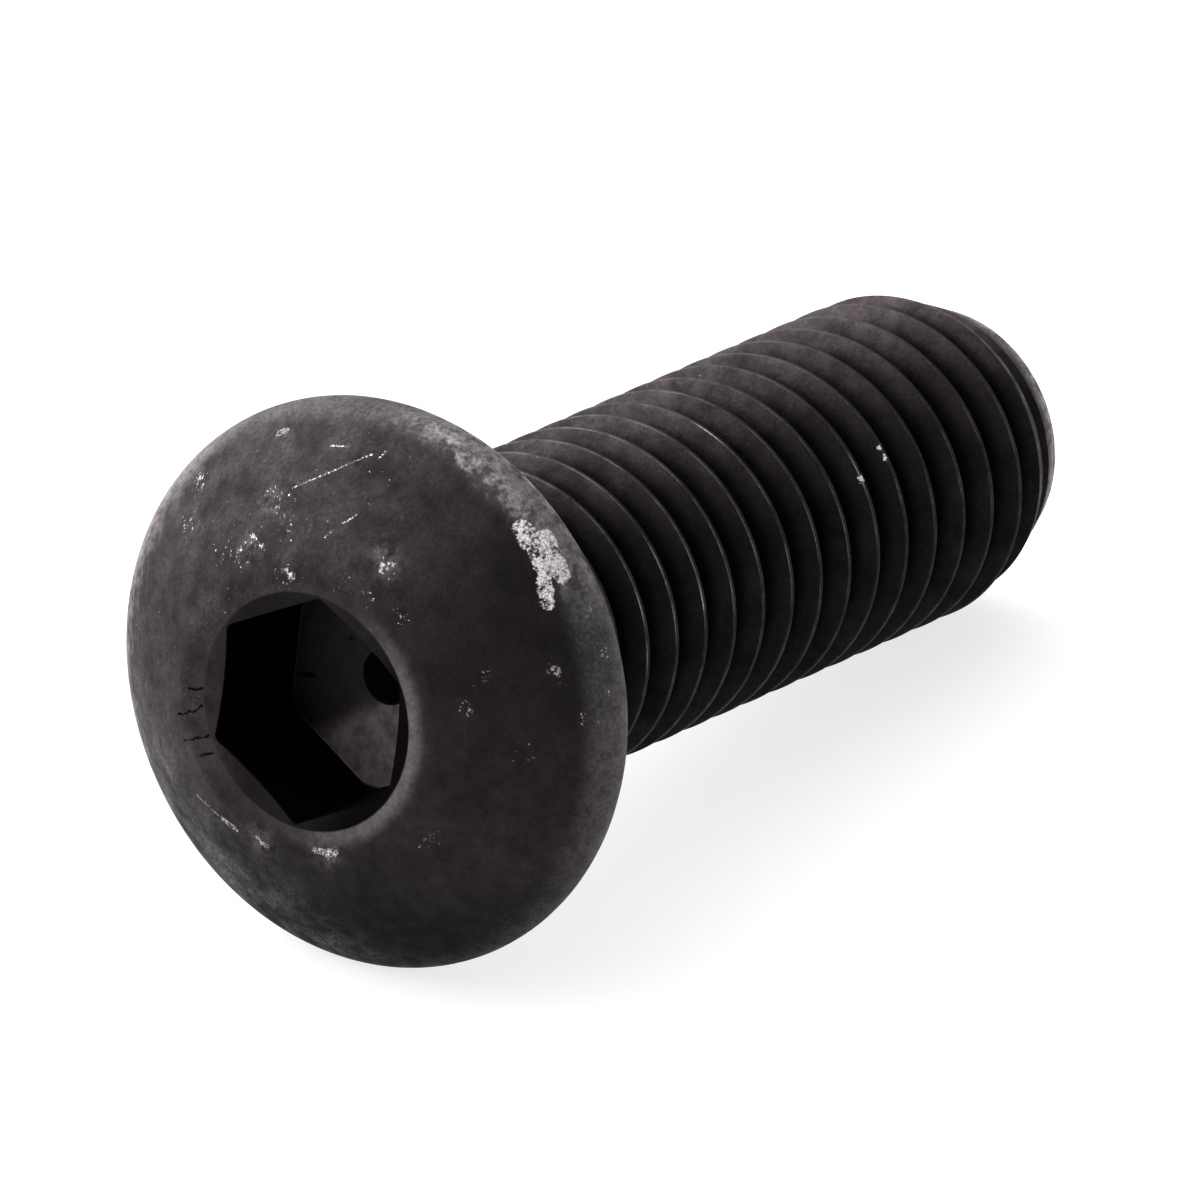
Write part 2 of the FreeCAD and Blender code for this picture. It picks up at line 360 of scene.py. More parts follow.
def socket_rings():
    """Rings from the dimple's deepest point out to the mouth, as (distance from the axis, height)."""
    floor = SOCKET_DEPTH - HEAD_HEIGHT
    dish = DISH_DIAMETER / 2
    dimple = DIMPLE_DIAMETER / 2
    dish_at_dimple = floor + DISH_DEPTH * (1 - dimple / dish)
    wall = wall_radius(ANGLES)
    apex = (0, dish_at_dimple + DIMPLE_DEPTH)
    edge = (dimple, dish_at_dimple)
    rings = line(apex, edge, 7)[:-1]
    rings += rounded_corner(apex, edge, (dish, floor), DIMPLE_ROUND, 4)
    rings += line(edge, (dish, floor), 10)[2:-1]
    rings += [(dish + share * (wall - SOCKET_FILLET - dish), floor) for share in (0.0, 0.35, 0.7)]
    for turn in np.linspace(0, math.pi / 2, 5):
        inset = SOCKET_FILLET * (1 - math.sin(turn))
        rings.append((wall - inset, floor - SOCKET_FILLET * (1 - math.cos(turn))))
    wall_foot = floor - SOCKET_FILLET
    for share in np.linspace(0, 1, 14)[1:]:
        rings.append((wall, wall_foot + share * (mouth_height(wall) - wall_foot)))
    for share in (0.04, 0.3, 0.6, 0.85):
        radius = wall + share * (MOUTH_DIAMETER / 2 - LIP_ROUND - wall)
        rings.append((radius, mouth_height(radius)))
    return rings


def head_profile():
    """The land, dome and upper half of the rim, from the mouth's lip to the widest point."""
    land = LAND_DIAMETER / 2
    mouth = MOUTH_DIAMETER / 2
    top = -HEAD_HEIGHT
    ring = HEAD_DIAMETER / 2 - RIM_RADIUS
    dome = dome_centre_height(ring, RIM_RADIUS, land, HEAD_HEIGHT)
    dome_start = math.atan2(top - dome, land)
    dome_end = math.atan2(-RIM_RADIUS - dome, ring)
    dome_arc = arc((0, dome), math.hypot(land, dome - top), dome_start, dome_end, 30)
    rings = line((mouth + LIP_ROUND, top), (land - LAND_ROUND_REACH, top), 4)
    rings += rounded_corner((mouth, top), (land, top), dome_arc[1], LAND_ROUND, 7)
    rings += [point for point in dome_arc if point[0] > land + LAND_ROUND_REACH]
    rings += arc((ring, -RIM_RADIUS), RIM_RADIUS, dome_end, 0, 16)[1:]
    return rings


def head_rings():
    """The head and neck, from the mouth's lip to the start of the thread."""
    mouth = MOUTH_DIAMETER / 2
    neck = NECK_DIAMETER / 2
    ring = HEAD_DIAMETER / 2 - RIM_RADIUS
    inner = (mouth - 1, mouth_height(mouth - 1))
    rings = rounded_corner(inner, (mouth, -HEAD_HEIGHT), (mouth + 1, -HEAD_HEIGHT), LIP_ROUND, 4)
    rings += head_profile()
    rings += arc((ring, -RIM_RADIUS), RIM_RADIUS, 0, math.pi / 2, 12)[1:]
    rings += line((ring, 0), (neck + NECK_FILLET, 0), 8)[1:]
    rings += arc((neck + NECK_FILLET, NECK_FILLET), NECK_FILLET, 1.5 * math.pi, math.pi, 6)[1:]
    return rings


def end_rings():
    """The flat end of the point, from its edge to its middle."""
    radius = POINT_DIAMETER / 2
    start = (THREAD_DIAMETER / 2, SHANK_LENGTH - POINT_LENGTH)
    rings = rounded_corner(start, (radius, SHANK_LENGTH), (0, SHANK_LENGTH), POINT_ROUND, 5)
    rings += line((radius - 2 * POINT_ROUND, SHANK_LENGTH), (0, SHANK_LENGTH), 12)
    return rings


def thread_radius(angles, heights):
    """Distance from the axis to the threaded surface."""
    crest = THREAD_DIAMETER / 2
    root = crest - THREAD_DEPTH
    turns = (heights - FIRST_CREST) / PITCH - angles / (2 * math.pi)
    from_crest = np.abs(turns - np.round(turns)) * PITCH
    places = [place * PITCH for place in (CREST_END, CREST_ROUND_END, ROOT_ROUND_START, ROOT_START, 0.5)]
    flank_top, flank_foot = [crest - math.sqrt(3) * (place - CREST_FLAT / 2) for place in places[1:3]]
    radius = np.interp(from_crest, places, (crest, flank_top, flank_foot, root + ROOT_ROUND_RISE, root))
    neck = NECK_DIAMETER / 2
    start = NECK_LENGTH + crest - neck
    end = SHANK_LENGTH - POINT_LENGTH
    ends = (NECK_LENGTH, start, end, SHANK_LENGTH)
    outer = np.interp(heights, ends, (neck, crest, crest, POINT_DIAMETER / 2))
    inner = np.interp(heights, RUN_OUT, (neck, root))
    return np.minimum(np.maximum(radius, inner), outer)


def eased(heights):
    """Closes up the thread's first and last rows, so that they stay between the neck and the end."""
    room_below = EASED_START - NECK_FILLET
    room_above = SHANK_LENGTH - EASED_END
    below = room_below * (1 - np.exp(-np.maximum(EASED_START - heights, 0) / room_below))
    above = room_above * (1 - np.exp(-np.maximum(heights - EASED_END, 0) / room_above))
    return np.clip(heights, EASED_START, EASED_END) - below + above


class Surface:
    """Collects the points and faces of one closed surface round the axis."""

    def __init__(self):
        self.points = []
        self.faces = []
        self.crest = []

    def add_point(self, height):
        self.points.append((0.0, 0.0, height))
        self.crest.append(0.0)
        return len(self.points) - 1

    def add_ring(self, radius, height, crest=0.0):
        """Adds one point in each column, and gives their numbers."""
        radius = radius + np.zeros(COLUMNS)
        height = height + np.zeros(COLUMNS)
        first = len(self.points)
        self.points += np.stack([radius * np.cos(ANGLES), radius * np.sin(ANGLES), height], axis=1).tolist()
        self.crest += [crest] * COLUMNS
        return list(range(first, first + COLUMNS))

    def bridge(self, earlier, later):
        """Faces between two rings, or between two rows as far as they go."""
        for here in range(len(earlier) - 1):
            self.faces.append((earlier[here], earlier[here + 1], later[here + 1], later[here]))

    def join_columns(self, left, right):
        """Fills the strip between two columns that have points at different heights."""
        at_left, at_right = 0, 0
        while at_left < len(left) - 1 or at_right < len(right) - 1:
            left_next = self.points[left[at_left + 1]][2] if at_left < len(left) - 1 else math.inf
            right_next = self.points[right[at_right + 1]][2] if at_right < len(right) - 1 else math.inf
            if left_next < right_next:
                self.faces.append((left[at_left], right[at_right], left[at_left + 1]))
                at_left += 1
            else:
                self.faces.append((left[at_left], right[at_right], right[at_right + 1]))
                at_right += 1


def closed_ring(ring):
    return ring + ring[:1]


def add_rings(surface, rings):
    """Adds rings, and the faces from each to the next."""
    numbers = [surface.add_ring(*ring) for ring in rings]
    for earlier, later in zip(numbers, numbers[1:]):
        surface.bridge(closed_ring(earlier), closed_ring(later))
    return numbers


def add_thread(surface):
    """Adds the thread's rows. After a turn, each row goes on as the one a pitch above it."""
    rows = []
    for turn in THREAD_TURNS:
        for place in THREAD_ROWS:
            heights = eased(FIRST_CREST + PITCH * (turn + place + ANGLES / (2 * math.pi)))
            rows.append(surface.add_ring(thread_radius(ANGLES, heights), heights, float(place == WORN_ROW)))
    per_turn = len(THREAD_ROWS)
    for lower, upper in zip(rows, rows[1:]):
        surface.bridge(lower, upper)
    for number in range(len(rows) - per_turn - 1):
        left = [row[-1] for row in rows[number:number + 2]]
        right = [row[0] for row in rows[number + per_turn:number + per_turn + 2]]
        surface.bridge([left[0], right[0]], [left[1], right[1]])
    return rows


def make_surface():
    """The whole screw: socket, head, neck, thread and point."""
    surface = Surface()
    per_turn = len(THREAD_ROWS)
    inside = socket_rings()
    deepest = surface.add_point(inside[0][1])
    head = add_rings(surface, inside[1:] + head_rings())
    rows = add_thread(surface)
    face = end_rings()
    end = add_rings(surface, face[:-1])
    middle = surface.add_point(face[-1][1])

    first = closed_ring(head[0])
    last = closed_ring(end[-1])
    surface.faces += [(deepest, there, here) for here, there in zip(first, first[1:])]
    surface.faces += [(middle, here, there) for here, there in zip(last, last[1:])]
    surface.bridge(head[-1], rows[0])
    surface.bridge(rows[-1], end[0])
    lowest = [row[0] for row in rows[:per_turn + 1]]
    highest = [row[-1] for row in rows[-per_turn - 1:]]
    surface.join_columns([head[-1][-1], rows[0][-1]], [head[-1][0]] + lowest)
    surface.join_columns(highest + [end[0][-1]], [rows[-1][0], end[0][0]])
    return surface


def screw_place(frame):
    """Where the screw lies: its bearing face and axis are those of the record."""
    mounts = {mount["name"]: mount for mount in frame["record"]["mounts"]}
    axis = Vector(mounts["bearing_face"]["axis"])
    across = Vector((0, 1, 0))
    turned = Matrix((across.cross(axis), across, axis)).transposed().to_4x4()
    return Matrix.Translation(mounts["bearing_face"]["pos_m"]) @ turned


def make_screw(place, material):
    surface = make_surface()
    mesh = bpy.data.meshes.new(PIECE)
    mesh.from_pydata([place @ (Vector(point) * MM) for point in surface.points], [], surface.faces)
    mesh.attributes.new(CREST, "FLOAT", "POINT").data.foreach_set("value", surface.crest)
    mesh.shade_smooth()
    mesh.set_sharp_from_angle(angle=SHARP_ANGLE)
    mesh.materials.append(material)
    screw = bpy.data.objects.new(PIECE, mesh)
    bpy.context.scene.collection.objects.link(screw)
    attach(screw, BODY)
    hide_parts(NODE)


class Nodes:
    """Short ways to add nodes to a material and join them."""

    def __init__(self, name):
        self.material = bpy.data.materials.new(name)
        self.material.use_nodes = True
        self.tree = self.material.node_tree
        self.shader = self.tree.nodes["Principled BSDF"]

    def add(self, kind, inputs=(), **settings):
        node = self.tree.nodes.new("ShaderNode" + kind)
        for name, value in settings.items():
            setattr(node, name, value)
        for socket, value in dict(inputs).items():
            self.join(value, node.inputs[socket])
        return node

    def join(self, value, socket):
        if isinstance(value, bpy.types.NodeSocket):
            self.tree.links.new(value, socket)
        else:
            socket.default_value = value

    def set(self, **inputs):
        """Joins values to the shader, each named like its socket."""
        for name, value in inputs.items():
            self.join(value, self.shader.inputs[name.replace("_", " ")])

    def math(self, operation, first, second, clamp=False):
        return self.add("Math", {0: first, 1: second}, operation=operation, use_clamp=clamp).outputs[0]

    def chain(self, operation, values):
        """Takes the values together, one after the other."""
        result = values[0]
        for value in values[1:]:
            result = self.math(operation, result, value)
        return result

    def total(self, *values):
        return self.chain("ADD", values)

    def product(self, *values):
        return self.chain("MULTIPLY", values)

    def least(self, *values):
        return self.chain("MINIMUM", values)

    def most(self, *values):
        return self.chain("MAXIMUM", values)

    def inverse(self, mask):
        return self.math("SUBTRACT", 1.0, mask)

    def vector(self, operation, first, second=(0, 0, 0), scale=1.0):
        node = self.add("VectorMath", {0: first, 1: second, 3: scale}, operation=operation)
        return node.outputs["Value" if operation in ("DOT_PRODUCT", "LENGTH") else "Vector"]

    def step(self, value, span, levels=(0.0, 1.0)):
        """A smooth step from one level to the other, as the value goes through a span."""
        names = ("From Min", "From Max", "To Min", "To Max")
        inputs = {"Value": value, **dict(zip(names, (*span, *levels)))}
        return self.add("MapRange", inputs, interpolation_type="SMOOTHSTEP").outputs[0]

    def noise(self, place, kind):
        inputs = {"Vector": place, **dict(zip(("Scale", "Detail", "Roughness"), kind))}
        return self.add("TexNoise", inputs)

    def mix(self, share, first, second):
        """Goes from one colour to another."""
        return self.add("Mix", {0: share, 6: first, 7: second}, data_type="RGBA").outputs[2]

    def blend(self, share, first, second):
        """Goes from one number to another."""
        return self.add("Mix", {0: share, 2: first, 3: second}).outputs[0]

    def from_segment(self, place, start, end):
        """Distance from a place to the straight line between two points."""
        along = end - start
        offset = self.vector("SUBTRACT", place, start)
        reach = self.vector("DOT_PRODUCT", offset, along)
        share = self.math("DIVIDE", reach, along.length_squared, clamp=True)
        nearest = self.vector("SCALE", along, scale=share)
        return self.vector("LENGTH", self.vector("SUBTRACT", offset, nearest))

    def near_lines(self, place, lines, width):
        """A mask that follows lines, each given by its points."""
        distances = []
        for points in lines:
            distances += [self.from_segment(place, *ends) for ends in zip(points, points[1:])]
        return self.step(self.least(*distances), (width, width / 2))

    def near_points(self, place, points, width):
        """A mask that is strongest at the points and fades out over a width."""
        distances = [self.vector("LENGTH", self.vector("SUBTRACT", place, point)) for point in points]
        return self.step(self.least(*distances), (width, 0.0))


def round_axis(degrees, radius, height):
    """A point given round the screw's axis, in the screw's own coordinates."""
    turn = math.radians(degrees)
    return Vector((radius * math.cos(turn), radius * math.sin(turn), height))


def head_points(places):
    """Points on the land, the dome or the upper half of the rim."""
    radii, heights = zip(*sorted(head_profile()))
    return [round_axis(turn, radius, float(np.interp(radius, radii, heights))) for turn, radius in places]


def head_lines(lines):
    return [head_points(points) for points in lines]


def crest_points(places):
    return [round_axis(turn, THREAD_DIAMETER / 2, height) for turn, height in places]


def floor_points(places):
    height = SOCKET_DEPTH - HEAD_HEIGHT + FLOOR_MARK_RISE
    return [Vector((*place, height)) for place in places]


class FinishAndPaintedLight(Nodes):
    """Matt black oxide with its wear, painted shade and painted highlights, in millimetres about the
    screw's own axis.
    """

    def __init__(self, place):
        super().__init__(SLOT)
        back = place.inverted()
        self.place = self.add("Mapping", {
            "Vector": self.add("TexCoord").outputs["Object"],
            "Location": back.translation / MM,
            "Rotation": back.to_euler(),
            "Scale": (1 / MM, 1 / MM, 1 / MM),
        }).outputs[0]
        self.height = self.add("SeparateXYZ", {0: self.place}).outputs["Z"]
        self.radius = self.vector("LENGTH", self.vector("MULTIPLY", self.place, (1, 1, 0)))
        self.cloud = self.noise(self.place, CLOUD).outputs[0]
        self.mottle = self.noise(self.place, MOTTLE).outputs[0]
        self.grain = self.noise(self.place, GRAIN).outputs[0]
        self.fine = self.noise(self.place, FINE).outputs[0]
        self.finest = self.noise(self.place, FINEST).outputs[0]
        self.wavy = self.wavy_place()
        self.find_socket()
        self.find_shank()
        self.find_tones()

    def wavy_place(self):
        """The place moved a little to and fro, so that what is drawn with it has an uneven edge."""
        wobble = self.noise(self.place, WOBBLE).outputs["Color"]
        wobble = self.vector("SUBTRACT", wobble, (0.5, 0.5, 0.5))
        return self.vector("ADD", self.place, self.vector("SCALE", wobble, scale=WOBBLE_REACH))

    def side(self, name, levels=(0.0, 1.0)):
        """A mask of one of the screw's sides."""
        direction, span = SIDES[name]
        return self.step(self.vector("DOT_PRODUCT", self.place, direction), span, levels)

    def blend_down(self, mask, level):
        """Goes from 1 to a lower level as the mask rises."""
        return self.step(mask, (0.0, 1.0), (1.0, level))

    def find_socket(self):
        """Masks of the socket: its walls and floor, left without wear and in painted shade, the floor by
        itself, and the mouth's cone.
        """
        in_head = self.step(self.height, IN_HEAD)
        cone = self.product(self.math("SUBTRACT", MOUTH_DIAMETER / 2, self.radius), math.tan(MOUTH_SLOPE))
        under_cone = self.math("SUBTRACT", self.total(self.height, HEAD_HEIGHT), cone)
        below_mouth = self.step(under_cone, UNDER_CONE)
        # The socket's walls and floor: no wear there, and painted shade.
        self.socket_unworn_and_shaded = self.product(self.step(self.radius, IN_SOCKET), below_mouth, in_head)
        self.on_cone = self.product(self.step(self.radius, IN_MOUTH), self.inverse(self.socket_unworn_and_shaded), in_head)
        self.clean = self.inverse(self.most(self.socket_unworn_and_shaded, self.on_cone))

        floor = SOCKET_DEPTH - HEAD_HEIGHT
        dimple = DIMPLE_DIAMETER / 2
        marks = [self.from_segment(self.place, *floor_points(ends)) for ends in FLOOR_MARKS]
        marks = self.product(
            self.step(self.least(*marks), FLOOR_MARK_WIDTHS),
            self.step(self.height, (floor - FLOOR_MARK_RISE, floor)),
        )
        self.on_floor = self.product(
            self.step(self.height, (floor - FLOOR_EDGE, floor)),
            self.step(self.radius, IN_FLOOR),
            in_head,
            self.step(self.radius, (dimple - DIMPLE_EDGE, dimple + DIMPLE_EDGE)),
            self.inverse(marks),
        )

    def find_shank(self):
        """Masks of the shank: all of it, its upper side, its lower side and the thread's roots, the last
        two for painted shade.
        """
        self.on_shank = self.step(self.height, SHANK_START)
        self.upper_side = self.side("shank_top")
        # The shank's lower side, for painted shade.
        self.low_side = self.product(self.side("shank_bottom"), self.on_shank)
        taper = (THREAD_DIAMETER - POINT_DIAMETER) / 2 / POINT_LENGTH
        past = self.most(self.math("SUBTRACT", self.height, SHANK_LENGTH - POINT_LENGTH), 0.0)
        # Painted shade in the thread's roots.
        root_shade = self.step(self.total(self.radius, self.product(past, taper)), CREST_TO_ROOT)
        self.root_shade = self.product(self.on_shank, root_shade, self.step(self.height, BEFORE_END))

    def find_tones(self):
        """Masks of what is paler in the oxide, of the ring round the mouth with its painted highlight, and
        of the cracks.
        """
        # The right of the mouth, the side that is lit.
        self.lit_side = self.side("land_right", (0.15, 1.0))
        # A painted highlight: the ring round the mouth, brighter on its lit right side.
        ring = self.product(self.step(self.radius, HIGHLIGHT_RING), self.step(self.height, ON_LAND))
        blotched = self.step(self.mottle, EARLY, (0.5, 1.0))
        self.ring = self.product(ring, self.lit_side, blotched, self.clean)
        tone = self.total(
            self.product(self.cloud, CLOUD_SHARE),
            self.product(self.mottle, MOTTLE_SHARE),
            self.product(self.grain, GRAIN_SHARE),
        )
        # Paler tone, and the ring's painted highlight.
        pale_tone_and_highlight = self.most(self.step(tone, TONE_SPAN), self.ring)
        self.pale_tone_and_highlight = self.product(pale_tone_and_highlight, self.inverse(self.on_cone))
        cracks = self.near_lines(self.wavy, head_lines(CRACKS), CRACK_WIDTH)
        self.cracks = self.product(cracks, self.step(self.grain, CRACK_BREAKS))

    def specks(self):
        """Bare specks and smudges strewn over the head, and a thin haze on its upper and lower left: a
        painted highlight, over scuffs on the upper left.
        """
        top = self.side("head_top", (0.0, HEAD_TOP_SHARE))
        uneven = self.step(self.mottle, PATCHES)
        strewn = self.product(self.near_points(self.wavy, head_points(SPECKS), SPECK_REACH), uneven)
        specks = self.total(top, self.product(strewn, SPECK_SHARE))
        specks = self.step(self.total(self.fine, specks), SPECK_SPAN)
        specks = self.product(specks, self.step(self.finest, (0.35, 0.6), (0.3, 0.9)))
        smudges = self.near_points(self.wavy, head_points(SMUDGES), SMUDGE_REACH)
        smudges = self.product(smudges, uneven, self.step(self.finest, EARLY, (0.3, 1.0)), SMUDGE_WEAR)
        # A painted highlight on the head's upper and lower left, over scuffs on the upper left.
        haze = self.most(top, self.side("head_low_left", (0.0, LOW_LEFT_HIGHLIGHT_SHARE)))
        haze = self.product(haze, self.step(self.cloud, MIDDLE), self.step(self.fine, WIDE), HAZE_SCUFF_AND_HIGHLIGHT)
        return self.most(specks, smudges, haze)

    def worn_crests(self):
        """Steel along the thread's crests, less of it far from the head, and less on top and below as
        painted shade.
        """
        on_crest = self.add("Attribute", attribute_name=CREST, attribute_type="GEOMETRY").outputs["Fac"]
        along = self.product(
            self.step(self.noise(self.place, CREST_PATCHES).outputs[0], MIDDLE, (0.1, 0.7)),
            self.step(self.height, WEAR_STRETCH, (1.0, 0.4)),
            # Painted shade: less steel on top.
            self.blend_down(self.upper_side, 0.55),
        )
        worn = self.near_points(self.place, crest_points(WORN_CRESTS), WORN_CREST_REACH)
        along = self.product(self.most(along, worn), self.step(self.finest, EARLY, (0.4, 1.0)))
        # Painted shade: less steel on the lower side.
        along = self.product(along, self.blend_down(self.low_side, 0.3))
        return self.product(self.step(on_crest, CREST_LINE), along, self.step(self.height, PAST_NECK))

    def scratches(self):
        """Thin bare scratches on the head, broken up."""
        scratches = self.near_lines(self.place, head_lines(SCRATCHES), SCRATCH_WIDTH)
        return self.product(scratches, self.step(self.finest, SCRATCH_BREAKS, (0.06, 0.9)))

    def worn_rim_and_lip_highlight(self):
        """Thin grey wear on the rim, most of it at the left and the upper right, and a painted highlight on
        the right of the mouth's lip.
        """
        rim = self.step(self.radius, RIM, (0.0, RIM_WEAR))
        rim = self.product(rim, self.side("rim_bottom", (1.0, 0.3)))
        uneven_radius = self.total(self.radius, self.step(self.mottle, WIDE, RIM_UNEVEN))
        left = self.step(uneven_radius, LEFT_RIM)
        left = self.product(left, self.side("rim_left"), LEFT_RIM_WEAR)
        right = self.step(uneven_radius, RIGHT_RIM)
        right = self.product(right, self.side("rim_upper_right"), RIGHT_RIM_WEAR)
        # A painted highlight on the right of the mouth's lip.
        lip = self.product(self.step(self.radius, LIP_RING), self.step(self.height, ON_LAND))
        lip = self.product(lip, self.side("lip_right", (0.1, 1.0)), LIP_HIGHLIGHT)
        speckled = self.step(self.grain, WIDE, (0.5, 1.0))
        blotched = self.step(self.mottle, LATER, (0.7, 1.0))
        return self.product(self.most(self.total(rim, left, right), lip), blotched, speckled, self.clean)

    def worn_end(self):
        """Grey wear round the edge of the point."""
        blotched = self.step(self.mottle, LATER, (0.3, 1.0))
        speckled = self.step(self.grain, MIDDLE, (0.3, 1.0))
        edge = self.product(self.step(self.height, END_EDGE), self.step(self.radius, END_RIM))
        return self.product(edge, END_WEAR, blotched, speckled)

    def bare_steel(self):
        """How far the finish is worn to steel, with painted highlights as steel on the head's left and the
        mouth's lip.
        """
        steel = self.most(self.specks(), self.worn_crests(), self.scratches())
        return self.most(self.product(steel, self.clean), self.worn_rim_and_lip_highlight(), self.worn_end())

    def chalk(self):
        """How far the finish was rubbed or struck to a chalky white."""
        nicks = self.product(self.near_points(self.wavy, crest_points(NICKS), NICK_REACH), NICK_SHARE)
        nicks = self.step(self.total(nicks, self.fine), NICK_SPAN)
        beads = self.near_lines(self.wavy, head_lines(BEADS), BEAD_WIDTH)
        beads = self.product(beads, self.step(self.finest, BEAD_BREAKS), BEAD_CHALK)
        above = self.near_lines(self.wavy, head_lines(RUBBED), RUBBED_WIDTH)
        below = self.near_lines(self.wavy, head_lines(RUBBED_BELOW), RUBBED_BELOW_WIDTH)
        patch = self.most(above, below)
        rough = self.total(self.product(self.mottle, 0.4), self.product(self.fine, 0.6))
        patch = self.step(self.total(self.product(patch, RUBBED_SHARE), rough), RUBBED_SPAN)
        patch = self.product(patch, self.step(self.finest, (0.32, 0.6), (0.35, 1.0)))
        return self.product(self.most(nicks, beads, patch), self.clean)

    def oxide(self):
        """The colour of the black finish: painted shade in the socket, the roots and on the shank's lower
        side, darker oxide with painted shade on the right of the mouth's cone, dust with a painted pool of
        light on the socket's floor, and dark cracks.
        """
        oxide = self.mix(self.pale_tone_and_highlight, OXIDE_DARK, OXIDE_PALE)
        brown = self.product(self.step(self.height, BROWN_STRETCH), self.upper_side)
        brown = self.product(brown, self.step(self.mottle, BROWN_PATCHES))
        oxide = self.mix(brown, oxide, OXIDE_BROWN)
        # Darker oxide with painted shade on the right of the mouth's cone.
        dark_cone = self.product(self.on_cone, self.lit_side)
        darker = self.most(self.socket_unworn_and_shaded, self.root_shade, dark_cone, self.product(self.low_side, LOW_SIDE_SHADE))
        oxide = self.mix(darker, oxide, OXIDE_PAINTED_SHADE)
        dusty_cone = self.product(self.on_cone, self.side("cone_left"))
        dusty_cone = self.product(dusty_cone, self.step(self.mottle, LATER, CONE_DUST))
        oxide = self.mix(dusty_cone, oxide, DUSTY)
        # Dust on the socket's floor, paler towards one side: a painted pool of light.
        floor_dust_and_light = self.product(self.on_floor, self.side("floor_lit_side"))
        floor_dust_and_light = self.product(floor_dust_and_light, self.step(self.mottle, LATER, FLOOR_DUST_AND_LIGHT))
        oxide = self.mix(floor_dust_and_light, oxide, DUSTY)
        return self.mix(self.cracks, oxide, BLACK)

    def shank_shine(self):
        """A painted highlight on top; more near the point; painted shade in the roots and below; less in
        pits.
        """
        low = self.blend(self.pale_tone_and_highlight, *LOW_SHINE)
        top = self.blend(self.pale_tone_and_highlight, *TOP_HIGHLIGHT_SHINE)
        shine = self.blend(self.upper_side, low, top)
        shine = self.product(shine, self.blend_down(self.root_shade, 0.1))
        pit_start = self.step(self.upper_side, (0.4, 1.0), (0.9, 0.62))
        pitted = self.step(self.noise(self.place, PITS).outputs[0], (pit_start, 0.95), (1.0, 0.0))
        shine = self.product(shine, self.step(self.height, SHINY_STRETCH, (1.0, 1.25)), pitted)
        return self.product(shine, self.blend_down(self.low_side, 0.7))

    def head_shine(self):
        """More on the ring round the mouth, a painted highlight; less at the bottom and on the mouth's
        cone, painted shade.
        """
        shine = self.blend(self.pale_tone_and_highlight, *HEAD_SHINE)
        # Painted shade: less sheen at the bottom of the head.
        shine = self.product(shine, self.inverse(self.product(self.side("head_bottom"), 0.8)))
        # Painted shade: the cone's sheen falls away on its right.
        cone = self.step(self.lit_side, (0.2, 0.9), CONE_SHINE)
        return self.blend(self.on_cone, self.blend(self.ring, shine, RING_HIGHLIGHT_SHINE), cone)

    def shine(self):
        """How strongly the finish reflects: hardly at all on the socket's walls, a painted shade."""
        shine = self.blend(self.on_shank, self.head_shine(), self.shank_shine())
        shine = self.blend(self.socket_unworn_and_shaded, shine, self.blend(self.on_floor, *SOCKET_SHINE))
        return self.blend(self.cracks, shine, 0.0)

    def finish(self):
        bare = self.bare_steel()
        chalk = self.chalk()
        bump = self.add("Bump", {"Strength": BUMP_STRENGTH, "Distance": BUMP_HEIGHT, "Height": self.grain})
        self.set(
            Base_Color=self.mix(chalk, self.mix(bare, self.oxide(), STEEL), CHALKY),
            Metallic=self.product(bare, self.inverse(chalk)),
            Roughness=self.blend(bare, self.step(self.mottle, WIDE, OXIDE_ROUGHNESS), STEEL_ROUGHNESS),
            Specular_IOR_Level=self.shine(),
            Specular_Tint=OXIDE_TINT,
            Normal=bump.outputs[0],
        )
        return self.material


def make_floor():
    nodes = Nodes("floor")
    nodes.set(
        Base_Color=FLOOR_GREY,
        Roughness=FLOOR_ROUGHNESS,
        Emission_Color=WHITE,
        Emission_Strength=FLOOR_GLOW,
    )
    bpy.ops.mesh.primitive_plane_add(size=FLOOR_SIDE)
    floor = bpy.context.object
    floor.name = "floor"
    floor.data.materials.append(nodes.material)


def aim(thing, place, target):
    thing.location = place
    thing.rotation_mode = "QUATERNION"
    thing.rotation_quaternion = (Vector(target) - Vector(place)).to_track_quat("-Z", "Y")


def add_key_light(place):
    data = bpy.data.lights.new("key", "AREA")
    data.shape = "DISK"
    data.size = KEY_SIZE
    data.energy = KEY_POWER
    light = bpy.data.objects.new("key", data)
    bpy.context.scene.collection.objects.link(light)
    aim(light, place, KEY_TARGET)


def camera_axes():
    """The camera's forward, right and up, in the frame."""
    heading = math.radians(CAMERA_HEADING)
    elevation = math.radians(CAMERA_ELEVATION)
    flat = Vector((math.cos(heading), math.sin(heading), 0))
    forward = flat * math.cos(elevation) - Vector((0, 0, math.sin(elevation)))
    right = forward.cross(Vector((0, 0, 1))).normalized()
    return forward, right, right.cross(forward)


def from_camera(to_right, away, up):
    """A place or direction given to the right, away from the camera and up."""
    forward, right, _ = camera_axes()
    flat = Vector((forward.x, forward.y, 0)).normalized()
    return to_right * right + away * flat + up * Vector((0, 0, 1))


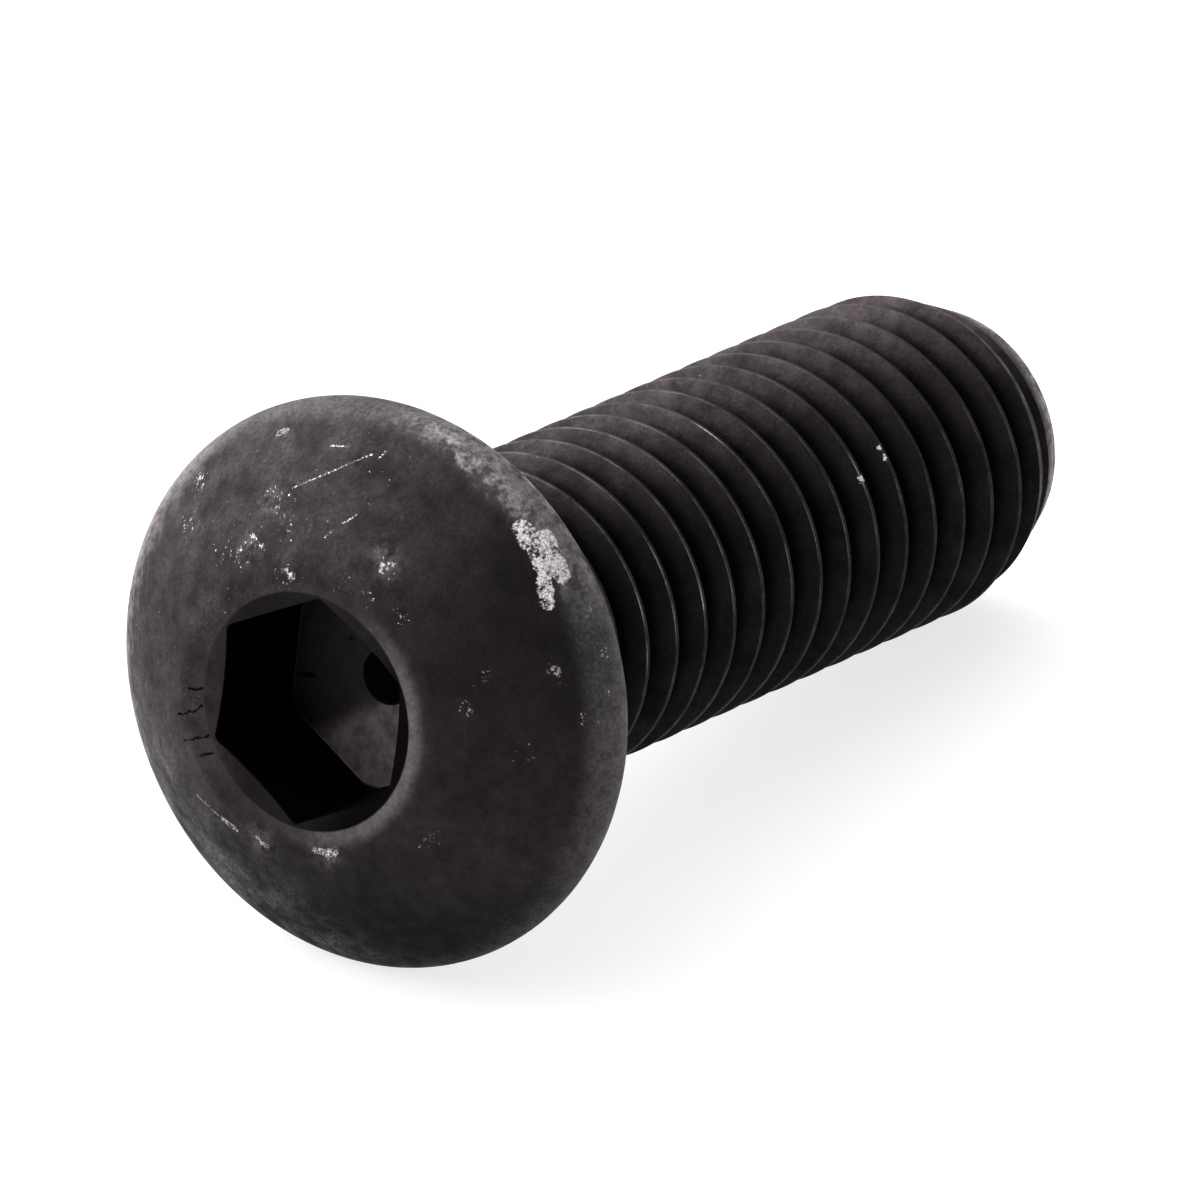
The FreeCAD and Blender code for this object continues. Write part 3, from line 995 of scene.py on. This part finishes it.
def light_scene():
    """Soft light from the left and above, with the side towards the camera darker."""
    world = bpy.data.worlds.new("studio")
    world.use_nodes = True
    tree = world.node_tree
    direction = tree.nodes.new("ShaderNodeTexCoord").outputs["Generated"]
    dot = tree.nodes.new("ShaderNodeVectorMath")
    dot.operation = "DOT_PRODUCT"
    dot.inputs[1].default_value = from_camera(*BRIGHTEST).normalized()
    tree.links.new(direction, dot.inputs[0])
    strength = tree.nodes.new("ShaderNodeMapRange")
    strength.interpolation_type = "SMOOTHSTEP"
    for socket, value in zip(("From Min", "From Max", "To Min", "To Max"), (*SKY_SPAN, *SKY_STRENGTH)):
        strength.inputs[socket].default_value = value
    tree.links.new(dot.outputs["Value"], strength.inputs["Value"])
    background = tree.nodes["Background"]
    background.inputs["Color"].default_value = WHITE
    tree.links.new(strength.outputs[0], background.inputs["Strength"])
    bpy.context.scene.world = world
    add_key_light(from_camera(*KEY_PLACE))
    bpy.context.scene.view_settings.view_transform = "Standard"
    bpy.context.scene.view_settings.gamma = GAMMA


def add_camera(place):
    """A long lens at the photograph's angle, placed so that the bearing face's middle has its pixel."""
    forward, right, up = camera_axes()
    data = bpy.data.cameras.new("camera")
    data.sensor_width = SENSOR_WIDTH
    data.lens = PIXELS_PER_MM * CAMERA_DISTANCE * SENSOR_WIDTH / IMAGE_SIDE
    data.clip_start = CLIP_START
    data.clip_end = CLIP_END
    camera = bpy.data.objects.new("camera", data)
    bpy.context.scene.collection.objects.link(camera)
    beside = (IMAGE_SIDE / 2 - BEARING_PIXEL[0]) / PIXELS_PER_MM * MM
    above = (BEARING_PIXEL[1] - IMAGE_SIDE / 2) / PIXELS_PER_MM * MM
    stand = place.translation - forward * CAMERA_DISTANCE * MM + right * beside + up * above
    aim(camera, stand, stand + forward)
    bpy.context.scene.camera = camera


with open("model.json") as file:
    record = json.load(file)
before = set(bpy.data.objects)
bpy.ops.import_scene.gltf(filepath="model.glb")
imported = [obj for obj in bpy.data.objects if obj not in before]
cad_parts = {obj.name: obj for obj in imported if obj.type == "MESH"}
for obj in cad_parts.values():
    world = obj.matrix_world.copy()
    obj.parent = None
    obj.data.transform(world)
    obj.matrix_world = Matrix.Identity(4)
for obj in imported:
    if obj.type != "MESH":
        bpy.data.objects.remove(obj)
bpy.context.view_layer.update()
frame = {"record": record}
place = screw_place(frame)
make_screw(place, FinishAndPaintedLight(place).finish())
make_floor()
light_scene()
add_camera(place)
